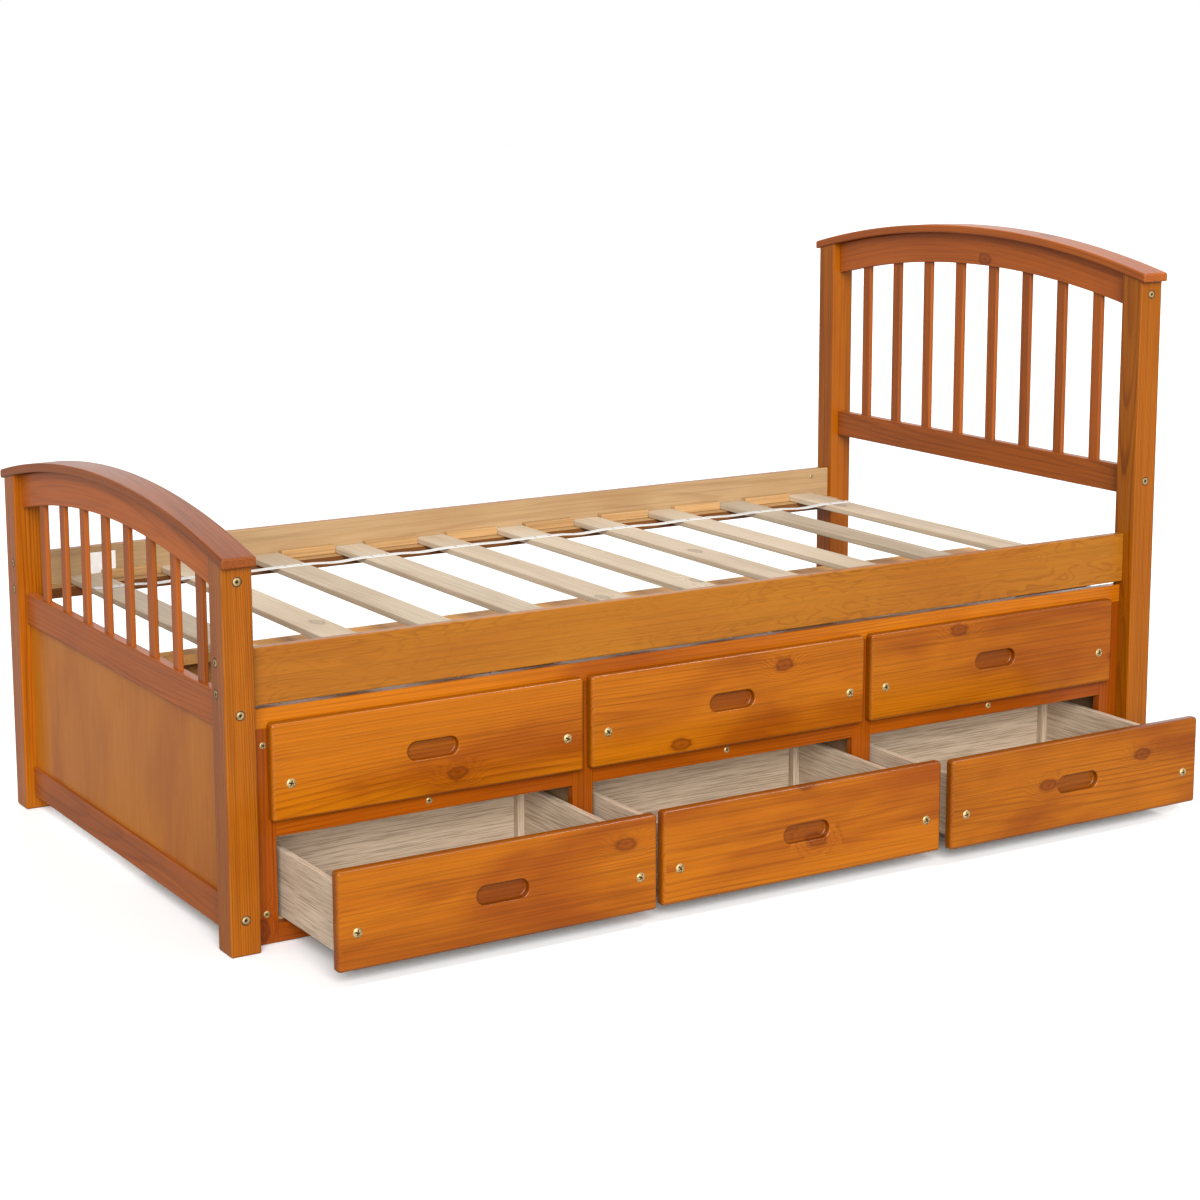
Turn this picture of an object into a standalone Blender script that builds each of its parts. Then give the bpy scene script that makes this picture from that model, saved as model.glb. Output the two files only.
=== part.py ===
"""Twin platform bed with six storage drawers, built board by board.

+X runs from the footboard to the headboard, -Y is the side of the drawers and Z is up
from the floor. The origin is on the floor, under the middle of the bed as it stands with
its three lower drawers pulled out. All sizes are in metres.
"""

import math

import bmesh
import bpy
from mathutils import Matrix, Vector

# Overall sizes
BED_LENGTH = 2.040  # over the posts, foot to head
BED_WIDTH = 1.064  # over the posts, drawer side to far side
FOOT_PEAK = 0.745  # top of the footboard's cap in its middle
HEAD_PEAK = 1.109  # top of the headboard's cap in its middle

# Clearances
GAP = 0.0003  # between two boards that touch
DRAWER_SIDE_CLEARANCE = 0.0125  # from a drawer box to its opening, each side
SLAT_END_CLEARANCE = 0.0015  # from a slat's end to the side rail
CABINET_TO_RAIL = 0.008  # from the drawer cabinet up to the side rail

# Head and foot boards
POST = 0.055  # square section of a post
BOARD_RAIL_THICKNESS = 0.020  # the rails stand in the middle of the posts
CAP_THICKNESS = 0.0175
CAP_RISE = 0.0645  # from the cap's ends to its middle
CAP_SIDE_OVERHANG = 0.0112  # past the posts, along Y
CAP_FACE_OVERHANG = 0.0038  # past the posts, along X
CAP_STEPS = 16  # straight steps in the cap's arc
ARCH_RAIL_DEPTH = 0.0655  # measured down from the cap
FOOT_MID_RAIL_BOTTOM = 0.378
FOOT_MID_RAIL_HEIGHT = 0.0625
FOOT_BOTTOM_RAIL_BOTTOM = 0.027
FOOT_BOTTOM_RAIL_HEIGHT = 0.059
HEAD_MID_RAIL_BOTTOM = 0.5945
HEAD_MID_RAIL_HEIGHT = 0.057
FOOT_PANEL_THICKNESS = 0.006
PANEL_GROOVE_DEPTH = 0.008
SPINDLES = 8  # in each board
SPINDLE_WIDTH = 0.0265
SPINDLE_THICKNESS = 0.010
TENON_LENGTH = 0.010

# Side rails and slats
SIDE_RAIL_INSET = 0.026  # from a post's outer face to the rail's outer face
SIDE_RAIL_THICKNESS = 0.018
SIDE_RAIL_HEIGHT = 0.0983
LEDGE_WIDTH = 0.042
LEDGE_HEIGHT = 0.021
LEDGE_ABOVE_RAIL_BOTTOM = 0.010
SPACER_THICKNESS = 0.018
SPACER_HEIGHT = 0.018  # above the ledge
SPACER_CLEARANCE = 0.001  # from a spacer block to a slat
SLATS = 10
SLAT_WIDTH = 0.070
SLAT_THICKNESS = 0.012
SLAT_END_DISTANCE = 0.0525  # from a post to the first and to the last slat
STRAP_WIDTH = 0.018
STRAP_THICKNESS = 0.0015
STRAP_TO_SLAT_END = 0.148  # from a slat's end to the middle of the strap

# Drawer cabinet
BAYS = 3
FACE_FRAME_IN_POSTS = 0.022  # from the face frame's front to the posts' inner faces
CABINET_DEPTH = 0.472
CABINET_BOTTOM = 0.001
CABINET_TOP = 0.4117
FACE_FRAME_THICKNESS = 0.018
OUTER_STILE = 0.0464
INNER_STILE = 0.043
BOTTOM_RAIL_TOP = 0.035
MID_RAIL_HEIGHT = 0.0383
TOP_RAIL_HEIGHT = 0.035
END_PANEL_THICKNESS = 0.012
DIVIDER_THICKNESS = 0.015
BACK_THICKNESS = 0.006
STRETCHER_WIDTH = 0.045
STRETCHER_HEIGHT = 0.018
RUNNER_HEIGHT = 0.018
RUNNER_UNDER_BOX = 0.017  # how far a runner reaches under a drawer box

# Drawers
FRONT_THICKNESS = 0.018
FRONT_EDGE_BEVEL = 0.003
FRONT_SIDE_LAP = 0.0139  # of a front over its opening
FRONT_BOTTOM_LAP = 0.0078
FRONT_TOP_LAP = 0.0108
BOX_WALL = 0.012
BOX_HEIGHT = 0.118
BOX_ABOVE_OPENING = 0.005
BOX_BEHIND_CLEARANCE = 0.068  # from a drawer box to the cabinet's back
BOX_BOTTOM_THICKNESS = 0.005
BOX_BOTTOM_RECESS = 0.014  # from the walls' lower edges up to the bottom
CORNER_BLOCK = 0.015
HANDLE_LENGTH = 0.100
HANDLE_HEIGHT = 0.034
HANDLE_DEPTH = 0.012
HANDLE_STEPS = 8  # straight steps in each round end
LOWER_OPENINGS = (0.2407, 0.2343, 0.2458)  # how far each lower drawer is pulled out
UPPER_OPENINGS = (0.0, 0.0, 0.0)

# Colours
STAIN = (0.42, 0.145, 0.022)
PANEL_STAIN = (0.45, 0.175, 0.035)
RAIL_STAIN = (0.36, 0.140, 0.030)
RAW_WOOD = (0.64, 0.470, 0.290)
LAMINATE = (0.42, 0.330, 0.230)
WEBBING = (0.78, 0.770, 0.740)

X, Y, Z = range(3)


# Places worked out from the sizes
CABINET_INSET = POST - FACE_FRAME_IN_POSTS
FOOT_X = -BED_LENGTH / 2
HEAD_X = BED_LENGTH / 2
FRONT_INSET = CABINET_INSET - FRONT_THICKNESS - GAP
NEAR_Y = -(FRONT_INSET - max(LOWER_OPENINGS) + BED_WIDTH + CAP_SIDE_OVERHANG) / 2
FAR_Y = NEAR_Y + BED_WIDTH
MIDDLE_Y = (NEAR_Y + FAR_Y) / 2
INNER_FOOT_X = FOOT_X + POST + GAP
INNER_HEAD_X = HEAD_X - POST - GAP
SIDE_RAIL_BOTTOM = CABINET_TOP + CABINET_TO_RAIL
SIDE_RAIL_TOP = SIDE_RAIL_BOTTOM + SIDE_RAIL_HEIGHT
LEDGE_BOTTOM = SIDE_RAIL_BOTTOM + LEDGE_ABOVE_RAIL_BOTTOM
LEDGE_TOP = LEDGE_BOTTOM + LEDGE_HEIGHT
SLAT_BOTTOM = LEDGE_TOP + GAP
SLAT_TOP = SLAT_BOTTOM + SLAT_THICKNESS
SIDE_RAIL_INNER = SIDE_RAIL_INSET + SIDE_RAIL_THICKNESS
FIRST_SLAT_X = FOOT_X + POST + SLAT_END_DISTANCE
SLAT_PITCH = (BED_LENGTH - 2 * (POST + SLAT_END_DISTANCE) - SLAT_WIDTH) / (SLATS - 1)
CABINET_Y = NEAR_Y + CABINET_INSET
CASE_Y = CABINET_Y + FACE_FRAME_THICKNESS + GAP
CABINET_BACK_Y = CABINET_Y + CABINET_DEPTH
OPENING_WIDTH = (
    INNER_HEAD_X - INNER_FOOT_X - 2 * OUTER_STILE - (BAYS - 1) * INNER_STILE
) / BAYS
BAY_PITCH = OPENING_WIDTH + INNER_STILE
OPENING_HEIGHT = (CABINET_TOP - TOP_RAIL_HEIGHT - MID_RAIL_HEIGHT - BOTTOM_RAIL_TOP) / 2
LOWER_OPENING_Z = BOTTOM_RAIL_TOP
UPPER_OPENING_Z = BOTTOM_RAIL_TOP + OPENING_HEIGHT + MID_RAIL_HEIGHT


def make_finish(name, colour, roughness):
    """One plain material of a board's own."""
    finish = bpy.data.materials.new(name)
    finish.use_nodes = True
    shader = finish.node_tree.nodes["Principled BSDF"]
    shader.inputs["Base Color"].default_value = (*colour, 1.0)
    shader.inputs["Roughness"].default_value = roughness
    shader.inputs["Metallic"].default_value = 0.0
    finish.diffuse_color = (*colour, 1.0)
    return finish


def add_box(mesh, low, high):
    """Adds a box between its lowest and its highest corner."""
    low, high = Vector(low), Vector(high)
    sides = Matrix.Diagonal((*(high - low), 1.0))
    bmesh.ops.create_cube(mesh, size=1.0, matrix=Matrix.Translation((low + high) / 2) @ sides)


def add_prism(mesh, outline, axis, start, end):
    """Sweeps a closed outline, given in the two other axes, along one axis."""
    across, up = [other for other in range(3) if other != axis]

    def corner(point):
        place = [start] * 3
        place[across], place[up] = point
        return mesh.verts.new(place)

    face = mesh.faces.new([corner(point) for point in outline])
    swept = bmesh.ops.extrude_face_region(mesh, geom=[face])["geom"]
    moved = [item for item in swept if isinstance(item, bmesh.types.BMVert)]
    shift = Vector((0.0, 0.0, 0.0))
    shift[axis] = end - start
    bmesh.ops.translate(mesh, verts=moved, vec=shift)


def finish_solid(name, mesh, origin, parent=None):
    """Makes the object of a mesh drawn in world places, with its origin where asked."""
    bmesh.ops.recalc_face_normals(mesh, faces=mesh.faces)
    bmesh.ops.translate(mesh, verts=mesh.verts, vec=-Vector(origin))
    data = bpy.data.meshes.new(name)
    mesh.to_mesh(data)
    mesh.free()
    data.shade_smooth()
    data.set_sharp_from_angle(angle=math.radians(30))
    solid = bpy.data.objects.new(name, data)
    bpy.context.scene.collection.objects.link(solid)
    solid.location = Vector(origin)
    if parent:
        solid.parent = parent
        solid.location -= parent.location
    return solid


def make_boxes(name, boxes, colour, roughness=0.4, parent=None):
    """One solid for each call, from boxes that are given by their two corners."""
    mesh = bmesh.new()
    for low, high in boxes:
        add_box(mesh, low, high)
    middle = (Vector(boxes[0][0]) + Vector(boxes[0][1])) / 2
    solid = finish_solid(name, mesh, middle, parent)
    solid.data.materials.append(make_finish(name, colour, roughness))
    return solid


def make_prism(name, outline, axis, start, end, colour, roughness=0.4):
    """A board with a drawn outline."""
    mesh = bmesh.new()
    add_prism(mesh, outline, axis, start, end)
    origin = sum((vertex.co for vertex in mesh.verts), Vector()) / len(mesh.verts)
    solid = finish_solid(name, mesh, origin)
    solid.data.materials.append(make_finish(name, colour, roughness))
    return solid


def apply_tool(solid, mesh, operation):
    """Cuts a hidden tool out of a solid, or joins it on."""
    tool = finish_solid(solid.name + "_" + operation.lower(), mesh, (0.0, 0.0, 0.0))
    tool.hide_render = True
    tool.display_type = "WIRE"
    modifier = solid.modifiers.new(operation.title(), "BOOLEAN")
    modifier.operation = operation
    modifier.object = tool


def cut_boxes(solid, boxes):
    mesh = bmesh.new()
    for low, high in boxes:
        add_box(mesh, low, high)
    apply_tool(solid, mesh, "DIFFERENCE")


def join_boxes(solid, boxes):
    mesh = bmesh.new()
    for low, high in boxes:
        add_box(mesh, low, high)
    apply_tool(solid, mesh, "UNION")


def arc_height(y, peak, depth):
    """Height at y of the cap's arc, or of a parallel arc that lies depth below it."""
    half = BED_WIDTH / 2 + CAP_SIDE_OVERHANG
    radius = (half**2 + CAP_RISE**2) / (2 * CAP_RISE)
    inner = radius - depth
    return peak - radius + math.sqrt(inner**2 - (y - MIDDLE_Y) ** 2)


def arc_points(start, end, peak, depth, steps):
    """Points of that arc from one y to another."""
    places = [start + (end - start) * step / steps for step in range(steps + 1)]
    return [(y, arc_height(y, peak, depth)) for y in places]


def mirrored(y):
    """The same distance in from the far side."""
    return NEAR_Y + FAR_Y - y


def spindle_places():
    """The middle of each spindle along Y, with equal spaces between spindles and posts."""
    clear = BED_WIDTH - 2 * POST
    space = (clear - SPINDLES * SPINDLE_WIDTH) / (SPINDLES + 1)
    pitch = SPINDLE_WIDTH + space
    first = NEAR_Y + POST + space + SPINDLE_WIDTH / 2
    return [first + number * pitch for number in range(SPINDLES)]


def panel_box(grow=0.0):
    """Corners of the footboard's panel, whose edges stand in grooves."""
    middle = FOOT_X + POST / 2
    half = FOOT_PANEL_THICKNESS / 2 + grow
    reach = PANEL_GROOVE_DEPTH + grow
    bottom = FOOT_BOTTOM_RAIL_BOTTOM + FOOT_BOTTOM_RAIL_HEIGHT
    low = (middle - half, NEAR_Y + POST - reach, bottom - reach)
    high = (middle + half, FAR_Y - POST + reach, FOOT_MID_RAIL_BOTTOM + reach)
    return low, high


def make_posts():
    """Four posts, cut to the curve of the cap on top."""
    for end, outer_x, peak in (("foot", FOOT_X, FOOT_PEAK), ("head", HEAD_X - POST, HEAD_PEAK)):
        for side, outer_y in (("near", NEAR_Y), ("far", FAR_Y - POST)):
            top = arc_points(outer_y, outer_y + POST, peak, CAP_THICKNESS + GAP, 3)
            outline = [(outer_y + POST, 0.0), (outer_y, 0.0), *top]
            name = f"{end}_post_{side}"
            post = make_prism(name, outline, X, outer_x, outer_x + POST, STAIN)
            if end == "foot":
                cut_boxes(post, [panel_box(grow=GAP)])


def make_board(end, outer_x, peak, mid_bottom, mid_height):
    """The cap, the arched rail, the middle rail and the spindles of one board."""
    start = outer_x + (POST - BOARD_RAIL_THICKNESS) / 2
    stop = start + BOARD_RAIL_THICKNESS
    near, far = NEAR_Y + POST + GAP, FAR_Y - POST - GAP

    cap_low, cap_high = NEAR_Y - CAP_SIDE_OVERHANG, FAR_Y + CAP_SIDE_OVERHANG
    over = arc_points(cap_low, cap_high, peak, 0.0, CAP_STEPS)
    under = arc_points(cap_high, cap_low, peak, CAP_THICKNESS, CAP_STEPS)
    cap_start, cap_stop = outer_x - CAP_FACE_OVERHANG, outer_x + POST + CAP_FACE_OVERHANG
    make_prism(f"{end}_cap_rail", over + under, X, cap_start, cap_stop, STAIN)

    arch_depth = CAP_THICKNESS + ARCH_RAIL_DEPTH
    over = arc_points(near, far, peak, CAP_THICKNESS + GAP, CAP_STEPS)
    under = arc_points(far, near, peak, arch_depth, CAP_STEPS)
    arch = make_prism(f"{end}_arch_rail", over + under, X, start, stop, STAIN)

    mid_top = mid_bottom + mid_height
    mid = make_boxes(
        f"{end}_mid_rail", [((start, near, mid_bottom), (stop, far, mid_top))], STAIN
    )

    centre = outer_x + POST / 2
    top_mortises, bottom_mortises = [], []
    for number, y in enumerate(spindle_places(), start=1):
        corners = [arc_height(y + side * SPINDLE_WIDTH / 2, peak, arch_depth) for side in (-1, 1)]
        top = max(corners) + TENON_LENGTH
        low = Vector((centre - SPINDLE_THICKNESS / 2, y - SPINDLE_WIDTH / 2, mid_top - TENON_LENGTH))
        high = Vector((centre + SPINDLE_THICKNESS / 2, y + SPINDLE_WIDTH / 2, top))
        make_boxes(f"{end}_spindle_{number}", [(low, high)], STAIN)
        play = Vector((GAP, GAP, GAP))
        open_below = Vector((0.0, 0.0, min(corners) - TENON_LENGTH - low.z))
        open_above = Vector((0.0, 0.0, mid_top + TENON_LENGTH - high.z))
        top_mortises.append((low - play + open_below, high + play))
        bottom_mortises.append((low - play, high + play + open_above))
    cut_boxes(arch, top_mortises)
    cut_boxes(mid, bottom_mortises)
    return mid


def make_boards():
    """Footboard with its panel, and headboard, which is open below its middle rail."""
    mid = make_board("foot", FOOT_X, FOOT_PEAK, FOOT_MID_RAIL_BOTTOM, FOOT_MID_RAIL_HEIGHT)
    cut_boxes(mid, [panel_box(grow=GAP)])
    start = FOOT_X + (POST - BOARD_RAIL_THICKNESS) / 2
    low = (start, NEAR_Y + POST + GAP, FOOT_BOTTOM_RAIL_BOTTOM)
    top = FOOT_BOTTOM_RAIL_BOTTOM + FOOT_BOTTOM_RAIL_HEIGHT
    high = (start + BOARD_RAIL_THICKNESS, FAR_Y - POST - GAP, top)
    bottom = make_boxes("foot_bottom_rail", [(low, high)], STAIN)
    cut_boxes(bottom, [panel_box(grow=GAP)])
    make_boxes("foot_panel", [panel_box()], PANEL_STAIN)
    head_x = HEAD_X - POST
    make_board("head", head_x, HEAD_PEAK, HEAD_MID_RAIL_BOTTOM, HEAD_MID_RAIL_HEIGHT)


def slat_place(number):
    """The foot-side edge of a slat."""
    return FIRST_SLAT_X + number * SLAT_PITCH


def make_side_rail(side, outer, inward):
    """A side rail with the slat ledge and its spacer blocks fixed to its inner face."""
    inner = outer + inward * SIDE_RAIL_THICKNESS
    ledge = inner + inward * LEDGE_WIDTH
    outline = [
        (outer, SIDE_RAIL_BOTTOM),
        (inner, SIDE_RAIL_BOTTOM),
        (inner, LEDGE_BOTTOM),
        (ledge, LEDGE_BOTTOM),
        (ledge, LEDGE_TOP),
        (inner, LEDGE_TOP),
        (inner, SIDE_RAIL_TOP),
        (outer, SIDE_RAIL_TOP),
    ]
    rail = make_prism(f"side_rail_{side}", outline, X, INNER_FOOT_X, INNER_HEAD_X, RAIL_STAIN)

    root = 0.25 * SIDE_RAIL_THICKNESS  # how deep a block is let into the rail and the ledge
    back, front = inner - inward * root, inner + inward * SPACER_THICKNESS
    blocks = []
    for number in range(SLATS - 1):
        start = slat_place(number) + SLAT_WIDTH + SPACER_CLEARANCE
        stop = slat_place(number + 1) - SPACER_CLEARANCE
        low = (start, min(back, front), LEDGE_TOP - root)
        blocks.append((low, (stop, max(back, front), LEDGE_TOP + SPACER_HEIGHT)))
    join_boxes(rail, blocks)


def make_slats():
    """Slats on the two ledges, held in place by a strap near each end."""
    near = NEAR_Y + SIDE_RAIL_INNER + SLAT_END_CLEARANCE
    for number in range(SLATS):
        start = slat_place(number)
        low = (start, near, SLAT_BOTTOM)
        high = (start + SLAT_WIDTH, mirrored(near), SLAT_TOP)
        make_boxes(f"slat_{number + 1:02d}", [(low, high)], RAW_WOOD, 0.6)

    strap_low = SLAT_TOP + GAP
    last = slat_place(SLATS - 1) + SLAT_WIDTH
    near_strap = near + STRAP_TO_SLAT_END
    for side, y in (("near", near_strap), ("far", mirrored(near_strap))):
        low = (slat_place(0), y - STRAP_WIDTH / 2, strap_low)
        high = (last, y + STRAP_WIDTH / 2, strap_low + STRAP_THICKNESS)
        make_boxes(f"slat_strap_{side}", [(low, high)], WEBBING, 0.9)


def opening_start(bay):
    """The foot-side edge of a drawer opening."""
    return INNER_FOOT_X + OUTER_STILE + bay * BAY_PITCH


def runner_boxes(start, stop):
    """The lower and the upper runner between two places along X."""
    boxes = []
    for opening in (LOWER_OPENING_Z, UPPER_OPENING_Z):
        top = opening + BOX_ABOVE_OPENING - GAP
        low = (start, CASE_Y, top - RUNNER_HEIGHT)
        boxes.append((low, (stop, CABINET_BACK_Y - BACK_THICKNESS - GAP, top)))
    return boxes


def make_cabinet():
    """Face frame, two ends, two dividers with their runners, and the back."""
    low = (INNER_FOOT_X, CABINET_Y, CABINET_BOTTOM)
    high = (INNER_HEAD_X, CABINET_Y + FACE_FRAME_THICKNESS, CABINET_TOP)
    frame = make_boxes("cabinet_face_frame", [(low, high)], STAIN)
    holes = []
    for bay in range(BAYS):
        start = opening_start(bay)
        for opening in (LOWER_OPENING_Z, UPPER_OPENING_Z):
            hole_low = (start, CABINET_Y - FACE_FRAME_THICKNESS, opening)
            hole_high_y = CABINET_Y + 2 * FACE_FRAME_THICKNESS
            holes.append((hole_low, (start + OPENING_WIDTH, hole_high_y, opening + OPENING_HEIGHT)))
    cut_boxes(frame, holes)

    back_inner_y = CABINET_BACK_Y - BACK_THICKNESS - GAP
    reach = DRAWER_SIDE_CLEARANCE + RUNNER_UNDER_BOX
    overlap = END_PANEL_THICKNESS / 2
    stretcher_low = CABINET_TOP - STRETCHER_HEIGHT
    panel_top = stretcher_low - GAP
    for end, outer, inward in (("foot", INNER_FOOT_X, 1), ("head", INNER_HEAD_X, -1)):
        sides = sorted((outer, outer + inward * END_PANEL_THICKNESS))
        panel = ((sides[0], CASE_Y, CABINET_BOTTOM), (sides[1], back_inner_y, panel_top))
        solid = make_boxes(f"cabinet_end_{end}", [panel], LAMINATE)
        inner = outer + inward * (END_PANEL_THICKNESS - overlap)
        runner = sorted((inner, outer + inward * (OUTER_STILE + reach)))
        join_boxes(solid, runner_boxes(*runner))

    for number in range(1, BAYS):
        middle = opening_start(number) - INNER_STILE / 2
        start, stop = middle - DIVIDER_THICKNESS / 2, middle + DIVIDER_THICKNESS / 2
        panel = ((start, CASE_Y, CABINET_BOTTOM), (stop, back_inner_y, panel_top))
        solid = make_boxes(f"cabinet_divider_{number}", [panel], LAMINATE)
        half = INNER_STILE / 2 + reach
        join_boxes(solid, runner_boxes(middle - half, middle + half))

    outline = [
        (CABINET_BACK_Y - BACK_THICKNESS, CABINET_BOTTOM),
        (CABINET_BACK_Y, CABINET_BOTTOM),
        (CABINET_BACK_Y, CABINET_TOP),
        (CABINET_BACK_Y - STRETCHER_WIDTH, CABINET_TOP),
        (CABINET_BACK_Y - STRETCHER_WIDTH, stretcher_low),
        (CABINET_BACK_Y - BACK_THICKNESS, stretcher_low),
    ]
    make_prism("cabinet_back", outline, X, INNER_FOOT_X, INNER_HEAD_X, RAW_WOOD, 0.6)


def handle_outline(centre_x, centre_z):
    """A slot with round ends, drawn in X and Z."""
    radius = HANDLE_HEIGHT / 2
    straight = HANDLE_LENGTH / 2 - radius
    points = []
    for side, first in ((1, -90.0), (-1, 90.0)):
        for step in range(HANDLE_STEPS + 1):
            angle = math.radians(first + 180.0 * step / HANDLE_STEPS)
            x = centre_x + side * straight + radius * math.cos(angle)
            points.append((x, centre_z + radius * math.sin(angle)))
    return points


def box_outline(start, stop, front, back):
    """The inside of a drawer box seen from above, with a block in each rear corner."""
    return [
        (start, front),
        (stop, front),
        (stop, back - CORNER_BLOCK),
        (stop - CORNER_BLOCK, back - CORNER_BLOCK),
        (stop - CORNER_BLOCK, back),
        (start + CORNER_BLOCK, back),
        (start + CORNER_BLOCK, back - CORNER_BLOCK),
        (start, back - CORNER_BLOCK),
    ]


def make_drawer(level, bay, opening_z, pulled_out):
    """One drawer: its false front, and its box, on an empty that rides along the slide."""
    label = f"{level}_{bay + 1}"
    start = opening_start(bay)
    stop = start + OPENING_WIDTH
    front_low = opening_z - FRONT_BOTTOM_LAP
    front_high = opening_z + OPENING_HEIGHT + FRONT_TOP_LAP
    front_y = NEAR_Y + FRONT_INSET - pulled_out
    rear_y = front_y + FRONT_THICKNESS
    centre_x, centre_z = (start + stop) / 2, (front_low + front_high) / 2

    slide = bpy.data.objects.new(f"drawer_slide_{label}", None)
    bpy.context.scene.collection.objects.link(slide)
    slide.location = (centre_x, front_y, centre_z)

    low = (start - FRONT_SIDE_LAP, front_y, front_low)
    high = (stop + FRONT_SIDE_LAP, rear_y, front_high)
    front = make_boxes(f"drawer_front_{label}", [(low, high)], STAIN, parent=slide)
    bevel = front.modifiers.new("Edges", "BEVEL")
    bevel.width = FRONT_EDGE_BEVEL
    bevel.segments = 1
    recess = bmesh.new()
    outline = handle_outline(centre_x, centre_z)
    add_prism(recess, outline, Y, front_y - HANDLE_DEPTH, front_y + HANDLE_DEPTH)
    apply_tool(front, recess, "DIFFERENCE")

    box_start, box_stop = start + DRAWER_SIDE_CLEARANCE, stop - DRAWER_SIDE_CLEARANCE
    box_low = opening_z + BOX_ABOVE_OPENING
    box_y = rear_y + GAP
    closed_y = NEAR_Y + FRONT_INSET + FRONT_THICKNESS + GAP
    depth = CABINET_BACK_Y - BACK_THICKNESS - BOX_BEHIND_CLEARANCE - closed_y
    back_y = box_y + depth
    low = (box_start, box_y, box_low)
    high = (box_stop, back_y, box_low + BOX_HEIGHT)
    box = make_boxes(f"drawer_box_{label}", [(low, high)], LAMINATE, parent=slide)
    inside = bmesh.new()
    outline = box_outline(
        box_start + BOX_WALL, box_stop - BOX_WALL, box_y + BOX_WALL, back_y - BOX_WALL
    )
    floor = box_low + BOX_BOTTOM_RECESS + BOX_BOTTOM_THICKNESS
    add_prism(inside, outline, Z, floor, box_low + 2 * BOX_HEIGHT)
    apply_tool(box, inside, "DIFFERENCE")
    under_low = (box_start + BOX_WALL, box_y + BOX_WALL, box_low - BOX_HEIGHT)
    under_high = (box_stop - BOX_WALL, back_y - BOX_WALL, box_low + BOX_BOTTOM_RECESS)
    cut_boxes(box, [(under_low, under_high)])


def make_drawers():
    for level, opening_z, pulls in (
        ("lower", LOWER_OPENING_Z, LOWER_OPENINGS),
        ("upper", UPPER_OPENING_Z, UPPER_OPENINGS),
    ):
        for bay, pulled_out in enumerate(pulls):
            make_drawer(level, bay, opening_z, pulled_out)


def main():
    for old in list(bpy.data.objects):
        bpy.data.objects.remove(old)
    make_posts()
    make_boards()
    make_side_rail("near", NEAR_Y + SIDE_RAIL_INSET, 1)
    make_side_rail("far", FAR_Y - SIDE_RAIL_INSET, -1)
    make_slats()
    make_cabinet()
    make_drawers()


main()
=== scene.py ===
"""Twin platform bed with six drawers: its boards, fasteners and finishes, the light and the camera.

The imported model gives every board's place. Each visible board is made again here with rounded
edges and with a grain of its own, from surfaces worked out with numpy. +X runs from foot to
head, -Y is the side of the drawers, Z is up, and all sizes are in metres.
"""

import math

import bpy
import numpy as np
from mathutils import Matrix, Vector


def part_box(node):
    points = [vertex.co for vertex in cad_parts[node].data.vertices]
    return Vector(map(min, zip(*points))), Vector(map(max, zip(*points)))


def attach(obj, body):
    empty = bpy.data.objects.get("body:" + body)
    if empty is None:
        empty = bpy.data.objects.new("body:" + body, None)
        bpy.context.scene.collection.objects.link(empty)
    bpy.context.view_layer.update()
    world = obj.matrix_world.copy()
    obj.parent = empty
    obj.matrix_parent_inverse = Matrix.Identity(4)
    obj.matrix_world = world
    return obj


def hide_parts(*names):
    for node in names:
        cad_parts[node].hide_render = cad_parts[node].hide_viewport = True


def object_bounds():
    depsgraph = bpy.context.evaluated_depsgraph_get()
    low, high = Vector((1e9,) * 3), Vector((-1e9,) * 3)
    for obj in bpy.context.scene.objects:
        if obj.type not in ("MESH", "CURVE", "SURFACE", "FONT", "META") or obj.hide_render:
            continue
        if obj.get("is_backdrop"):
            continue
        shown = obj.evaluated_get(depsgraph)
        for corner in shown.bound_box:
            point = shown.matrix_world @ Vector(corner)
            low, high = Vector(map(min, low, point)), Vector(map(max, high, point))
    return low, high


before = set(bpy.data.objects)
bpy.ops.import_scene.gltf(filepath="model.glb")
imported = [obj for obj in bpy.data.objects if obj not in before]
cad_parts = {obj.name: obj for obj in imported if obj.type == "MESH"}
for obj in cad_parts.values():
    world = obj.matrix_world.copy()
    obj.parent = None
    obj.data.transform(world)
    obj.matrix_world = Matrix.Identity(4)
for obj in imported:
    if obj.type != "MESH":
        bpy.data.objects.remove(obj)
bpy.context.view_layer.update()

BED = "bed_frame"
LEVELS = ("lower", "upper")
BAYS = (1, 2, 3)
ENDS = ("foot", "head")
SIDES = ("near", "far")

# Sizes that the boards' own boxes don't give
CAP_THICKNESS = 0.0175
CAP_RISE = 0.0645
ARCH_RAIL_DEPTH = 0.0655
GAP = 0.0003
SIDE_RAIL_THICKNESS = 0.018
LEDGE_WIDTH = 0.042
LEDGE_HEIGHT = 0.021
LEDGE_ABOVE_RAIL_BOTTOM = 0.010
SPACER_THICKNESS = 0.018
SPACER_HEIGHT = 0.018
SPACER_CLEARANCE = 0.001
OUTER_STILE = 0.0464
INNER_STILE = 0.043
BOTTOM_RAIL_TOP = 0.035
MID_RAIL_HEIGHT = 0.0383
TOP_RAIL_HEIGHT = 0.035
BOX_WALL = 0.012
BOX_BOTTOM_RECESS = 0.014
BOX_BOTTOM_THICKNESS = 0.005
CORNER_BLOCK = 0.015
HANDLE_LENGTH = 0.100
HANDLE_HEIGHT = 0.034
HANDLE_DEPTH = 0.012

# How far edges are rounded
POST_EDGE = 0.0035
CAP_EDGE = 0.0045
RAIL_EDGE = 0.0022
SLAT_EDGE = 0.0018
LEDGE_EDGE = 0.0015
SPACER_EDGE = 0.0012
FRAME_EDGE = 0.0011
BOX_EDGE = 0.0009
PANEL_EDGE = 0.0005

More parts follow.
